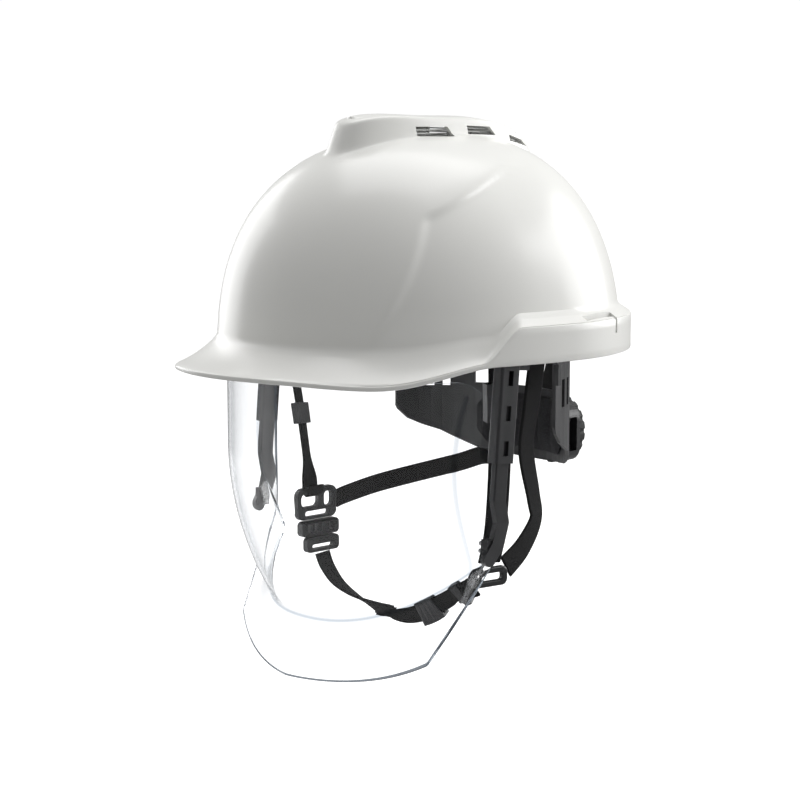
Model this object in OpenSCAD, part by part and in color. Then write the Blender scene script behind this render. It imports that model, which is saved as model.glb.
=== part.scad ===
// Industrial safety helmet with a clear full-length visor and a four-point chin harness.
// Frame: front is -Y, the wearer's left is +X, +Z is up. The origin is the centre of the head
// ring at the level of the shell's rim. Millimetres.

/* [Shell] */
// Half width of the dome at its base
dome_half_w = 107; // [104:0.5:109]
// Dome length ahead of its widest section
dome_front = 130; // [127:1:133]
// Dome length behind its widest section
dome_back = 104; // [102:1:107]
// Height of the crown above the rim
dome_h = 125; // [123:1:129]
// Wall thickness of the moulded shell
wall = 2.6; // [2.2:0.1:2.8]
// Reach of the peak ahead of the dome's widest section
peak_front = 160; // [154:1:164]
// Half width of the rain gutter
gutter_half_w = 113; // [112.5:0.5:115]
// Height of the ridge's front end above the crown line
ridge_h = 15; // [13:1:18]

/* [Visor] */
// Thickness of the clear sheet
sheet = 1.8; // [1.4:0.1:2]
// Half width of the clear sheet
visor_half_w = 99.5; // [98.5:0.5:100]
// Depth of the visor's lowest edge below the rim
visor_drop = 173; // [168:1:175]
// Distance of the guide rails from the middle plane
rail_x = 102.6; // [102.2:0.1:103]
// Backward lean of the guide rails, in degrees
rail_lean = 5; // [4:0.5:6]

/* [Suspension] */
// Half width of the head ring
ring_half_w = 80; // [79:0.5:81]
// Half length of the head ring
ring_half_l = 97; // [96:0.5:98]
// Diameter of the ratchet knob
knob_d = 42; // [38:1:43]
// Pitch radius of the ratchet pinion
pinion_r = 6; // [6:0.5:6]
// Width of the chin webbing
web_w = 14; // [12:1:15]
// Thickness of the webbing
web_t = 1.6; // [1.2:0.1:1.8]

/* [Hidden] */

centre_y = 10;
n_plan = 2.1;
cols = 72;
rail_y = -30;
gutter_back = 110;
ridge_c = 16;
ridge_half_l = 82;
ridge_half_w = 20;
slot_y = 36;
slot_len = 30;
slot_w = 3.6;
slot_turn = -13;
nape_z = -55;
housing_y = 93.4;
wing_x = 98.3;
wing_y = -31;
crease_u = 0.86;
corner = [81.7, -68, -156];
corner_u = 0.8;
hook_z = -99;
crown_web_h = 70;

function sgn(v) = v < 0 ? -1 : 1;
function smooth(v) = let (t = min(1, max(0, v))) t * t * (3 - 2 * t);
function mix(a, b, t) = a + (b - a) * t;
function unit(v) = v / norm(v);
// A point of a superellipse at parametric angle a
function bow(v, n) = sgn(v) * pow(abs(v), 2 / n);
function oval(a, w, l, n) = [w * bow(cos(a), n), l * bow(sin(a), n)];
// Profile exponent: fuller to the front and back than to the sides
function fullness(a) = mix(2.1, 2.62, pow(sin(a), 2));
function dome_l(side) = side < 0 ? dome_front : dome_back;

// Plan share q of the base at height z, and height at plan share q
function share(z, a, d) = pow(1 - pow(max(0, z) / (dome_h - d), fullness(a)), 1 / fullness(a));
function height(q, a, d) = (dome_h - d) * pow(max(0, 1 - pow(min(q, 1), fullness(a))), 1 / fullness(a));
function dome_pt(q, a, d) = let (p = q * oval(a, dome_half_w - d, dome_l(sin(a)) - d, n_plan))
    [p[0], centre_y + p[1], height(q, a, d)];
// Parametric angle and share of a plan point
function angle_of(x, y) = atan2(bow(y / dome_l(y), 4 / n_plan), bow(x / dome_half_w, 4 / n_plan));
function share_of(x, y) =
    pow(pow(abs(x) / dome_half_w, n_plan) + pow(abs(y) / dome_l(y), n_plan), 1 / n_plan);

// The rim: the peak runs ahead of the step and the gutter behind it
function step_at(y) = smooth((y + 50) / 24);
function low_z(y) = 4 - 10 * smooth((-y - 40) / 63) + 3.3 * smooth((-y - 103) / 47);
function join_z(y) = mix(12 + 5 * smooth((y + 110) / 60), 29, step_at(y));
function lip_z(y) = mix(low_z(y) + wall, 24, step_at(y));
function rim_pt(a, d) = let (
    p = oval(a, gutter_half_w - d, (sin(a) < 0 ? peak_front : gutter_back) - d, n_plan))
    [p[0], centre_y + p[1]];

// Ridge height above the dome along the middle
function ridge_up(y) = mix(ridge_h, 9.5, smooth((y + 60) / 60)) * (1 - smooth((y - 55) / 42));
function ridge_pt(a, grow, d) =
    let (p = oval(a, ridge_half_w - grow - d, ridge_half_l - 2.8 * grow - d, 2.8))
    [p[0], ridge_c + p[1]];

function over(p, z) = [p[0], p[1], z];
function skin_z(p, d) = height(share_of(p[0], p[1] - centre_y), angle_of(p[0], p[1] - centre_y), d);
function ridge_ring(k, grow, d) = [for (i = [0:cols - 1]) let (p = ridge_pt(i * 360 / cols, grow, d))
    over([k * p[0], p[1]], skin_z(p, d) + ridge_up(p[1]) + 1.2 * (1 - k))];
function foot_ring(d) = [for (i = [0:cols - 1]) let (p = ridge_pt(i * 360 / cols, 0, d))
    over(p, skin_z(p, d))];
function dome_ring(t, d) = [for (i = [0:cols - 1]) let (
    a = i * 360 / cols, p = ridge_pt(a, 0, d), y = p[1] - centre_y, a0 = angle_of(p[0], y),
    turn = a - a0 - 360 * round((a - a0) / 360), b = a0 + turn * smooth(t),
    q0 = share_of(p[0], y), rim = rim_pt(a, 0), q1 = share(join_z(rim[1]) - d * 0.6, a, d))
    dome_pt(sin(mix(asin(min(1, q0)), asin(min(0.9999, q1)), t)), b, d)];
function rim_ring(inset, z_of) = [for (i = [0:cols - 1]) over(rim_pt(i * 360 / cols, inset), z_of[i])];
function rim_ys() = [for (i = [0:cols - 1]) rim_pt(i * 360 / cols, 0)[1]];

// A closed skin through stacked rings, bridged left to right at both ends
function wrap_faces(n, rings) = concat(
    [for (r = [0:rings - 2]) for (i = [0:n - 1]) let (j = (i + 1) % n) each [
        [r * n + i, (r + 1) * n + i, (r + 1) * n + j], [r * n + i, (r + 1) * n + j, r * n + j]]],
    bridge(n, 0, false), bridge(n, (rings - 1) * n, true));
function mirror_col(n, i) = (n / 2 - i + n) % n;
function bridge(n, base, flip) = [for (k = [0:n / 2 - 1]) let (
    i = (n * 3 / 4 + k) % n, j = (i + 1) % n, mi = mirror_col(n, i), mj = mirror_col(n, j))
    each [for (f = concat(k < n / 2 - 1 ? [[i, j, mj]] : [], k > 0 ? [[i, mj, mi]] : []))
        flip ? [base + f[2], base + f[1], base + f[0]] : [base + f[0], base + f[1], base + f[2]]]];

// Flat band swept along a route; its width lies across the radial direction
function tangent(p, i) = unit(p[min(i + 1, len(p) - 1)] - p[max(i - 1, 0)]);
function across(p, i) = let (r = unit([p[i][0], p[i][1] - centre_y, 0.01])) unit(cross(tangent(p, i), r));
module band(p, w, t) {
    n = len(p);
    pts = [for (i = [0:n - 1]) let (
        a = across(p, i) * w / 2, o = unit(cross(across(p, i), tangent(p, i))) * t / 2)
        each [p[i] + a + o, p[i] - a + o, p[i] - a - o, p[i] + a - o]];
    faces = concat([[0, 2, 1], [0, 3, 2]],
        [for (i = [0:n - 2]) for (k = [0:3]) let (m = (k + 1) % 4) each [
            [4 * i + k, 4 * i + 4 + m, 4 * i + 4 + k], [4 * i + k, 4 * i + m, 4 * i + 4 + m]]],
        [[4 * n - 4, 4 * n - 3, 4 * n - 2], [4 * n - 4, 4 * n - 2, 4 * n - 1]]);
    polyhedron(pts, faces);
}
// Round stretches of a route: a smooth curve through hand-chosen points
function curve(p, steps = 5) = concat([for (i = [0:len(p) - 2]) for (k = [0:steps - 1]) let (
    t = k / steps, a = p[max(i - 1, 0)], b = p[i], c = p[i + 1], d = p[min(i + 2, len(p) - 1)])
    0.5 * (2 * b + (c - a) * t + (2 * a - 5 * b + 4 * c - d) * t * t + (3 * b - a - 3 * c + d) * t * t * t)],
    [p[len(p) - 1]]);
function part_of(p, first, last) = [for (i = [first:last]) p[i]];
// A short sleeve around a stretch of webbing
module sleeve(p, first, last, w) difference() {
    band(part_of(p, first, last), w + 4.5, web_t + 3.6);
    band(part_of(p, first - 1, last + 1), w + 1.2, web_t + 1.2);
}
module both() {
    children();
    mirror([1, 0, 0]) children();
}
module upright_bar(size, r) {
    linear_extrude(size[2]) hull() for (x = [-1, 1]) for (y = [-1, 1])
        translate([x * (size[0] / 2 - r), y * (size[1] / 2 - r)]) circle(r, $fn = 24);
}
module on_rail() translate([rail_x, rail_y, 0]) rotate([-rail_lean, 0, 0]) children();

// Arc wall of the head ring between two angles, cut from an oval tube
module ring_wall(gap, thick, z0, z1, a0, a1) {
    outer = [for (a = [a0:5:a1]) oval(a, ring_half_w - gap, ring_half_l - gap, 2.1)];
    inner = [for (a = [a1:-5:a0]) oval(a, ring_half_w - gap - thick, ring_half_l - gap - thick, 2.1)];
    translate([0, 0, z0]) linear_extrude(z1 - z0) polygon(concat(outer, inner));
}

module shell() {
    ys = rim_ys();
    out = concat([ridge_ring(0.55, 2.2, 0), ridge_ring(1, 2.2, 0), foot_ring(0)],
        [for (k = [1:9]) dome_ring(k / 9, 0)],
        [rim_ring(0, [for (y = ys) lip_z(y)]), rim_ring(0, [for (y = ys) low_z(y)])]);
    in = concat([rim_ring(wall, [for (y = ys) low_z(y)]),
        rim_ring(wall + 0.8, [for (y = ys) max(low_z(y) + 0.5, lip_z(y) - wall)])],
        [for (k = [9:-1:1]) dome_ring(k / 9, wall)],
        [foot_ring(wall), ridge_ring(1, 2.2, wall), ridge_ring(0.55, 2.2, wall)]);
    rings = concat(out, in);
    color("white") difference() {
        polyhedron([for (r = rings) each r], wrap_faces(cols, len(rings)), convexity = 8);
        for (v = vents) vent_cut(v, 30);
        both() accessory_slot();
    }
}
// Vent windows in the ridge's side walls: start, end, floor, top, and fall towards the rear
vents = [[-19, 8, 123, 128.4, 0], [19, 41, 124.2, 129, 0.6], [53, 69, 120.4, 124, 3.2]];
module vent_cut(v, half) {
    rotate([90, 0, 90]) translate([0, 0, -half]) linear_extrude(2 * half)
        polygon([[v[0], v[2]], [v[1], v[2] - v[4]], [v[1] - 4, v[3] - v[4]], [v[0], v[3]]]);
}
module accessory_slot() {
    translate([106.2, slot_y, 26]) rotate([0, 0, -slot_turn]) cube([slot_w, slot_len, 16], center = true);
}
// Each grille: louvres and end posts behind the three windows, shorter where the ridge dies out
module grille() color("gainsboro") for (v = vents)
    translate([12.7, v[0], v[2]]) rotate([-atan(v[4] / (v[1] - v[0])), 0, 0]) {
        for (k = [0:2]) translate([0, -1.6, k * 1.9 - 0.6])
            cube([1.4, v[1] - v[0] + (v[4] > 3 ? -2.6 - 4 * k : 3.2), 0.8]);
        for (y = v[4] > 3 ? [-2] : [-2, v[1] - v[0] + 0.6]) translate([0, y, -1]) cube([1.4, 1.4, 5.4]);
    }
module left_vent_grille() grille();
module right_vent_grille() mirror([1, 0, 0]) grille();

// Slotted rail: a channel that the arm's upper part runs in
module visor_rail() {
    color("#26282c") on_rail() difference() {
        translate([0, 0, -48]) upright_bar([7.4, 13, 58], 1.2);
        translate([0, 0, -60]) upright_bar([4.2, 9.2, 90], 0.8);
        for (z = [-40, -21.4, -2.8]) translate([3, 0, z]) cube([4, 3.4, 8], center = true);
    }
    color("#26282c") on_rail() translate([0, 10.4, 6]) difference() {
        cube([5, 8, 9], center = true);
        rotate([0, 90, 0]) cylinder(d = 3.2, h = 12, center = true, $fn = 32);
    }
}
module left_visor_rail() visor_rail();
module right_visor_rail() mirror([1, 0, 0]) visor_rail();
module rail_rivets() {
    color("#3a3c40") both() on_rail() translate([0, 10.4, 6]) rotate([0, 90, 0]) {
        translate([0, 0, -3.6]) cylinder(d = 5.6, h = 1.1, $fn = 32);
        translate([0, 0, -3.6]) cylinder(d = 3.12, h = 8, $fn = 32);
    }
}

// Clear sheet: an upper bulge that closes towards the chin between two side wings, then a
// flared chin skirt. u runs from -1 at the right edge to 1 at the left edge.
function sheet_f(z) = 1 - 0.205 * pow(max(0, -z - 48) / 90, 2);
function crease_a(z) = 66.5 - 5.6 * sin(180 * min(1, max(0, -z / 105)));
function bulge_pt(a, z, d) = [sheet_f(z) * (visor_half_w - d) * pow(sin(a), 0.952),
    centre_y - sheet_f(z) * (visor_half_w + 26 - d) * pow(cos(a), 0.952), z];
function sheet_pt(u, z, d) = let (
    s = abs(u), b = bulge_pt(crease_a(z) * min(1, s / crease_u), z, d),
    p = s > crease_u ? mix(b, [wing_x - d, wing_y, z], (s - crease_u) / (1 - crease_u)) : b)
    [sgn(u) * p[0], p[1], p[2]];
function top_z(u) = -5 - 9 * smooth((abs(u) - 0.8) / 0.2);
function crease_z(u) = -141 + 45 * pow(abs(u), 2.6);
function skirt_pt(u, d) = let (
    s = abs(u), k = min(1, s / corner_u),
    b = [corner[0] * mix(k, sin(90 * k), 0.2), mix(-99, corner[1], pow(k, 1.3)),
        mix(-visor_drop, corner[2], pow(k, 2.4))],
    p = s <= corner_u ? b : mix(corner, [wing_x, wing_y, hook_z], (s - corner_u) / (1 - corner_u)))
    [sgn(u) * (p[0] - d * 0.8), p[1] + d * 0.6, p[2]];
module visor_sheet() {
    m = 32;
    us = [for (i = [0:m]) 2 * i / m - 1];
    rows = 11;
    low = 5;
    function row(r, d) = [for (u = us) r <= rows ? sheet_pt(u, mix(top_z(u), crease_z(u), r / rows), d)
        : mix(sheet_pt(u, crease_z(u), d), skirt_pt(u, d), (r - rows) / low)];
    grid = concat([for (r = [0:rows + low]) row(r, 0)], [for (r = [rows + low:-1:0]) row(r, sheet)]);
    n = m + 1;
    k = len(grid);
    pts = [for (r = grid) each r];
    loop_faces = [for (r = [0:k - 1]) for (i = [0:m - 1]) let (s = (r + 1) % k) each [
        [r * n + i, s * n + i + 1, s * n + i], [r * n + i, r * n + i + 1, s * n + i + 1]]];
    h = k / 2;
    ends = [for (e = [0, m]) for (r = [0:h - 2]) let (
        a = r * n + e, b = (r + 1) * n + e, c = (k - 2 - r) * n + e, d = (k - 1 - r) * n + e)
        each (e == 0 ? [[a, b, c], [a, c, d]] : [[a, c, b], [a, d, c]])];
    color("lightcyan", 0.4) polyhedron(pts, concat(loop_faces, ends), convexity = 6);
}
// Arm: a straight blade in the rail, a rearward knee, and a hook lobe that grips the sheet
arm_path = [[0, -58], [0, -68], [3.6, -80], [1, -92], [-4, -99]];
module visor_arm() {
    color("#2a2c30") on_rail() {
        translate([0, 0, -68]) upright_bar([4.06, 9.06, 56], 0.7);
        for (k = [0:3]) hull() for (p = [arm_path[k], arm_path[k + 1]])
            translate([0, p[0], p[1]]) rotate([0, 90, 0]) cylinder(d = 8.6, h = 3.6, center = true, $fn = 24);
        translate([-4.2, -6, -99]) cube([5.2, 8, 10]);
    }
}
module left_visor_arm() visor_arm();
module right_visor_arm() mirror([1, 0, 0]) visor_arm();
module arm_pins() {
    color("#55585c") both() on_rail() for (z = [-92, -96])
        translate([-8.4, -2.4, z]) rotate([0, 90, 0]) cylinder(d = 2.4, h = 4.6, $fn = 24);
}

module headband() {
    color("#1d1e20") {
        ring_wall(1, 2, 8, 38, 180, 360);
        both() ring_wall(1, 2, 14, 32, -5, 30);
    }
}
module sweatband() color("#303236") ring_wall(3.3, 3, 6, 40, 205, 335);
// Crown cradle: three webbing straps over the head, crossing at the top
module crown_webbing() {
    for (k = [0:2]) let (
        p = oval(60 * k, ring_half_w + 4.5, ring_half_l + 4.5, 2.1),
        reach = norm(p), top = crown_web_h + 2.6 * k)
        color("#1a1b1d") rotate([90, 0, atan2(p[1], p[0])])
        linear_extrude(20, center = true) polygon(concat(
            [for (t = [0:6:180]) [reach * cos(t), 24 + top * sin(t)]],
            [for (t = [180:-6:0]) [(reach - web_t) * cos(t), 24 + (top - web_t) * sin(t)]]));
}
module crown_pad() color("#2b2d30") translate([0, 0, 83.4]) difference() {
    cylinder(d = 44, h = 4.4, $fn = 64);
    translate([0, 0, -1]) cylinder(d = 20, h = 8, $fn = 48);
}
// Six hooked clips that hang the head ring and the crown cradle on the shell
module suspension_clips() {
    color("silver") for (a = [0, 60, 120, 180, 240, 300])
        let (p = oval(a, ring_half_w + 3, ring_half_l + 3, 2.1))
        translate([p[0], p[1], 20]) rotate([0, 0, atan2(p[1], p[0])]) {
            translate([-2.4, -9, 0]) cube([2, 18, 8]);
            translate([-2.4, -6, 0]) cube([10, 12, 2]);
        }
}

// Nape parts: one rigid cradle that carries the ratchet. Its lower edge sweeps up to the wings.
nape_side = [[36, 32], [36, -26], [38.5, -36], [42, -44], [48, -50], [56, -54], [66, -58], [75, -64],
    [84, -70], [100, -70], [100, 32]];
module nape_cradle() {
    color("#1d1e20") difference() {
        intersection() {
            union() {
                ring_wall(4, 2.2, -70, -28, 55, 125);
                both() ring_wall(4, 2.2, -70, -4, 25, 60);
                both() ring_wall(4, 2.2, -5, 30, 25, 30);
            }
            rotate([90, 0, 90]) linear_extrude(200, center = true) polygon(nape_side);
        }
        both() for (a = [33:7:47]) let (p = oval(a, 75, 92, 2.1))
            translate([p[0], p[1], -22]) rotate([0, 0, atan2(p[1], p[0])]) cube([20, 5, 16], center = true);
    }
}
module nape_pad() color("#35373b") ring_wall(6.6, 4, -66, -32, 60, 120);
module ratchet_housing() {
    color("#222326") translate([0, housing_y, nape_z]) rotate([-90, 0, 0]) difference() {
        linear_extrude(13) hull() for (x = [-1, 1]) for (y = [-1, 1])
            translate([x * 17, y * 8]) circle(9, $fn = 32);
        translate([0, 0, 3]) linear_extrude(7) square([80, 20.4], center = true);
        translate([0, 0, -1]) cylinder(d = 6.1, h = 20, $fn = 48);
    }
}
module ratchet_knob() {
    color("#17181a") translate([0, housing_y + 13.4, nape_z]) rotate([-90, 0, 0]) difference() {
        cylinder(d = knob_d, h = 9, $fn = 72);
        for (a = [0:20:340]) rotate([0, 0, a]) translate([knob_d / 2 + 1.2, 0, -1])
            cylinder(d = 4.4, h = 12, $fn = 24);
    }
}
module ratchet_pinion() color("#8d9095") translate([0, housing_y, nape_z]) rotate([-90, 0, 0]) {
    cylinder(d = 6, h = 13.4, $fn = 48);
    translate([0, 0, 3.6]) difference() {
        cylinder(r = pinion_r + 0.8, h = 5.6, $fn = 48);
        for (a = [0:30:330]) rotate([0, 0, a + 15]) translate([pinion_r + 1, 0, -1])
            rotate([0, 0, 45]) cube([2.4, 2.4, 16], center = true);
    }
}
// Toothed rack: runs above or below the pinion inside the housing
module rack() color("#2f3134") translate([0, housing_y + 3.7, nape_z]) {
    translate([-22, 0, -9.9]) cube([44, 5.4, 2.4]);
    for (k = [-6:6]) translate([k * 3.14 - 0.55, 0.6, -7.6]) cube([1.1, 4, 0.5]);
}
module left_rack() rack();
module right_rack() translate([0, 0, 2 * nape_z]) mirror([0, 0, 1]) rack();
module rear_height_strap() color("#1a1b1d") band(curve(height_route), 12, web_t);

// Webbing routes, from the shell down to the chin
height_route = [[0, 101, 44], [0, 107.6, 10], [0, 109, -12], [0, 105, -26], [0, 99, -33]];
front_route = [[84, -18, 18], [83, -16, 0], [78, -11, -50], [72, -8, -90], [67, -8, -111]];
far_front_route = [[-84, -30, 18], [-82, -31, 0], [-72, -32, -34], [-66, -32, -62], [-63, -31, -82]];
rear_route = [[79, 16, 2], [75, 16, -24], [67, 20, -50], [65, 28, -78], [65, 30, -92], [67, 18, -106],
    [69, 3, -115]];
far_rear_route = [[-63, -11.5, -93], [-64.5, -2, -91.5], [-65, 22, -88], [-59, 46, -84], [-48, 75, -78.5],
    [-38, 84.2, -74], [-30, 88.8, -73.4]];
chin_route = [[-56, -28, -122.4], [-52, -27, -131], [-43, -24, -141], [-24, -19, -149], [0, -16, -151.5],
    [20, -16, -147], [38, -16, -138], [52, -15, -130], [61, -13, -126]];
far_w = web_w * 0.8;
module left_front_strap() color("#1a1b1d") band(curve(front_route), web_w, web_t);
module right_front_strap() color("#1a1b1d") band(curve(far_front_route), far_w, web_t);
module left_rear_strap() color("#1a1b1d") band(curve(rear_route), web_w, web_t);
module right_rear_strap() color("#1a1b1d") band(curve(far_rear_route), far_w, web_t);
module chin_webbing() color("#1a1b1d") band(curve(chin_route), far_w, web_t);
module left_strap_keeper() color("#202124") sleeve(curve(front_route), 6, 8, web_w);
module right_strap_keeper() color("#202124") sleeve(curve(far_front_route), 10, 12, far_w);
module chin_adjuster() color("#1d1e20") sleeve(curve(chin_route), 25, 29, far_w);
module chin_end_clip() color("#1d1e20") sleeve(curve(chin_route), 34, 36, far_w);

// A flat frame with openings for webbing, standing across the radial direction
module frame_at(p, turn, tilt, size, holes, t) translate(p) rotate([tilt, 0, turn]) rotate([90, 0, 0])
    translate([0, 0, -t / 2]) linear_extrude(t) difference() {
        hull() for (x = [-1, 1]) for (y = [-1, 1])
            translate([x * (size[0] / 2 - 3), y * (size[1] / 2 - 3)]) circle(3, $fn = 24);
        for (s = holes) translate([s[0], s[1]]) square([s[2], s[3]], center = true);
    }
module left_junction_buckle() color("#1b1c1e")
    frame_at([68, -9, -119], 84, 0, [24, 11], [[0, 0, 16, 4]], 3.6);
module right_junction_buckle() color("#1b1c1e")
    frame_at([-61, -29, -93], -88, 0, [31, 19],
        [[-8, 2.2, 6, 8], [6, 2.8, 12, 7], [0, -5.8, 18, 3.2]], 3.4);
module buckle_socket() color("#1b1c1e")
    frame_at([-59, -28.6, -107.5], -88, 0, [29, 9], [[0, 0, 20, 3]], 5);
module buckle_tongue() color("#242528")
    frame_at([-57, -28, -117], -88, 0, [25, 9], [[0, -1, 17, 3]], 4);
// Round-nosed hooks that hold the nape straps to the shell, with their short pins
module strap_hooks() color("#141516") both() translate([86, 24, 4]) rotate([0, 90, 12]) {
    cylinder(d = 11, h = 3, $fn = 32);
    translate([2, -1.4, 0]) cube([15, 2.8, 2.4]);
}

shell();
left_vent_grille();
right_vent_grille();
left_visor_rail();
right_visor_rail();
rail_rivets();
visor_sheet();
left_visor_arm();
right_visor_arm();
arm_pins();
headband();
sweatband();
crown_webbing();
crown_pad();
suspension_clips();
nape_cradle();
nape_pad();
ratchet_housing();
ratchet_knob();
ratchet_pinion();
left_rack();
right_rack();
rear_height_strap();
left_front_strap();
right_front_strap();
left_rear_strap();
right_rear_strap();
left_strap_keeper();
right_strap_keeper();
left_junction_buckle();
right_junction_buckle();
buckle_socket();
buckle_tongue();
chin_webbing();
chin_adjuster();
chin_end_clip();
strap_hooks();
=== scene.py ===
import bpy, bmesh, math
import numpy as np
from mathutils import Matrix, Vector


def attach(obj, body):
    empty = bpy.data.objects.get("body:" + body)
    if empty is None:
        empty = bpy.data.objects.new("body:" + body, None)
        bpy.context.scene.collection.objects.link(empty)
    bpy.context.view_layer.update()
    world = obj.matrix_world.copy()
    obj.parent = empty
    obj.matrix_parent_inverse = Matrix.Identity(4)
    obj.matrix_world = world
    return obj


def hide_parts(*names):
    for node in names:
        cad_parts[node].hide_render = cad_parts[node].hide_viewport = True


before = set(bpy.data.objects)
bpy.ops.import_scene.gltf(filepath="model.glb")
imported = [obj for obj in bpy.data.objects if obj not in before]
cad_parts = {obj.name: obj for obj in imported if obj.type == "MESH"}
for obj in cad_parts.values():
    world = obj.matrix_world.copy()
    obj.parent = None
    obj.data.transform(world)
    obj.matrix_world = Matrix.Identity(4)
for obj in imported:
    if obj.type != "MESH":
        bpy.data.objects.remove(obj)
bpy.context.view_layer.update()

# ---- Camera, floor and light --------------------------------------------------------------
# A long lens looks a little down on the wearer's left front. The floor is plain and pale, and
# the light is a wide soft sky with three big soft panels.
scene = bpy.context.scene
view_turn = math.radians(49.0)
view_drop = math.radians(7.8)
view_distance = 1.15
aim_left = 0.0115
aim_above = 0.0276
sight = Vector((-math.sin(view_turn) * math.cos(view_drop), math.cos(view_turn) * math.cos(view_drop),
                -math.sin(view_drop)))
side = Vector((math.cos(view_turn), math.sin(view_turn), 0.0))
camera_data = bpy.data.cameras.new("camera")
camera_data.lens = 90.0
camera_data.sensor_width = 36.0
camera_data.clip_start = 0.05
camera = bpy.data.objects.new("camera", camera_data)
scene.collection.objects.link(camera)
camera.location = -sight * view_distance - side * aim_left - side.cross(sight) * aim_above
camera.rotation_euler = sight.to_track_quat("-Z", "Y").to_euler()
scene.camera = camera

world = bpy.data.worlds.new("studio")
scene.world = world
world.use_nodes = True
sky = world.node_tree
sky_rays = sky.nodes.new("ShaderNodeLightPath")
sky_seen = sky.nodes.new("ShaderNodeMath")
sky_seen.operation = "MAXIMUM"
sky_where = sky.nodes.new("ShaderNodeTexCoord")
sky_parts = sky.nodes.new("ShaderNodeSeparateXYZ")
sky_height = sky.nodes.new("ShaderNodeMapRange")
sky_height.inputs["From Min"].default_value = -0.1
sky_height.inputs["From Max"].default_value = 0.9
sky_height.inputs["To Min"].default_value = 0.25
sky_height.inputs["To Max"].default_value = 0.56
sky_level = sky.nodes.new("ShaderNodeMix")
sky_level.inputs["B"].default_value = 1.02
sky.nodes["Background"].inputs["Color"].default_value = (1.0, 1.0, 1.0, 1.0)
for plug, socket in ((sky_rays.outputs["Is Camera Ray"], sky_seen.inputs[0]),
                     (sky_rays.outputs["Is Transmission Ray"], sky_seen.inputs[1]),
                     (sky_where.outputs["Generated"], sky_parts.inputs[0]),
                     (sky_parts.outputs["Z"], sky_height.inputs["Value"]),
                     (sky_seen.outputs[0], sky_level.inputs["Factor"]),
                     (sky_height.outputs["Result"], sky_level.inputs["A"]),
                     (sky_level.outputs["Result"], sky.nodes["Background"].inputs["Strength"])):
    sky.links.new(plug, socket)
scene.view_settings.view_transform = "Standard"


def soft_panel(name, place, size, power):
    light = bpy.data.lights.new(name, "AREA")
    light.energy = power
    light.size = size
    panel = bpy.data.objects.new(name, light)
    panel.location = place
    panel.rotation_euler = (Vector((0.0, 0.0, 0.02)) - Vector(place)).to_track_quat("-Z", "Y").to_euler()
    scene.collection.objects.link(panel)


soft_panel("panel_left_rear", (0.7, 1.65, 0.6), 1.4, 32.0)
soft_panel("panel_right_side", (-1.6, -0.15, 0.4), 1.2, 14.0)
soft_panel("panel_top", (-0.3, 0.35, 1.7), 1.4, 15.0)

floor_height = -0.36
bpy.ops.mesh.primitive_plane_add(size=40.0, location=(0.0, 0.0, floor_height))
floor = bpy.context.object
floor.name = "floor"
floor_finish = bpy.data.materials.new("pale_floor")
floor_finish.use_nodes = True
floor_tree = floor_finish.node_tree
floor_rays = floor_tree.nodes.new("ShaderNodeLightPath")
floor_seen = floor_tree.nodes.new("ShaderNodeMath")
floor_seen.operation = "MAXIMUM"
floor_shader = floor_tree.nodes["Principled BSDF"]
floor_shader.inputs["Base Color"].default_value = (0.36, 0.36, 0.36, 1.0)
floor_shader.inputs["Roughness"].default_value = 0.9
floor_shader.inputs["Specular IOR Level"].default_value = 0.0
floor_shader.inputs["Emission Color"].default_value = (1.0, 1.0, 1.0, 1.0)
floor_tree.links.new(floor_rays.outputs["Is Camera Ray"], floor_seen.inputs[0])
floor_tree.links.new(floor_rays.outputs["Is Transmission Ray"], floor_seen.inputs[1])
floor_tree.links.new(floor_seen.outputs[0], floor_shader.inputs["Emission Strength"])
floor.data.materials.append(floor_finish)


# ---- Shell --------------------------------------------------------------------------------
# The hard shell is one injection-moulded ABS skin 2.6 mm thick. It has a hollow ridge with
# three windows a side, a sunk side panel, a sloping peak, and a deep gutter with tool slots.
MM = 0.001
half_w, front_l, back_l, crown = 107.0, 130.0, 104.0, 125.0
centre_y, plan_n, wall = 10.0, 2.1, 2.6
gutter_w, peak_l, gutter_back = 113.0, 160.0, 110.0


def smooth(v):
    t = np.clip(v, 0.0, 1.0)
    return t * t * (3.0 - 2.0 * t)


def mix(a, b, t):
    return a + (b - a) * t


def bow(v, n):
    return np.sign(v) * np.abs(v) ** (2.0 / n)


def fullness(a):
    return mix(2.1, 2.62, np.sin(a) ** 2)


def length_of(s):
    return np.where(s < 0, front_l, back_l)


def crown_z(q, a, d):
    return (crown - d) * np.maximum(0.0, 1.0 - np.minimum(q, 1.0) ** fullness(a)) ** (1.0 / fullness(a))


def share_at(z, a, d):
    return (1.0 - (np.maximum(0.0, z) / (crown - d)) ** fullness(a)) ** (1.0 / fullness(a))


def dome_point(q, a, d):
    x = q * (half_w - d) * bow(np.cos(a), plan_n)
    y = centre_y + q * (length_of(np.sin(a)) - d) * bow(np.sin(a), plan_n)
    return np.stack([x, y, crown_z(q, a, d)], -1)


def plan_angle(x, y):
    return np.arctan2(bow(y / length_of(y), 4.0 / plan_n), bow(x / half_w, 4.0 / plan_n))


def plan_share(x, y):
    return ((np.abs(x) / half_w) ** plan_n + (np.abs(y) / length_of(y)) ** plan_n) ** (1.0 / plan_n)


def step_at(y):
    return smooth((y + 50.0) / 24.0)


def low_z(y):
    return 4.0 - 10.0 * smooth((-y - 40.0) / 63.0) + 3.3 * smooth((-y - 103.0) / 47.0)


def join_z(y):
    return mix(12.0 + 5.0 * smooth((y + 110.0) / 60.0), 29.0, step_at(y))


def lip_z(y):
    return mix(low_z(y) + wall, 24.0, step_at(y))


def ridge_rise(y):
    return mix(15.0, 9.5, smooth((y + 60.0) / 60.0)) * (1.0 - smooth((y - 55.0) / 42.0))


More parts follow.
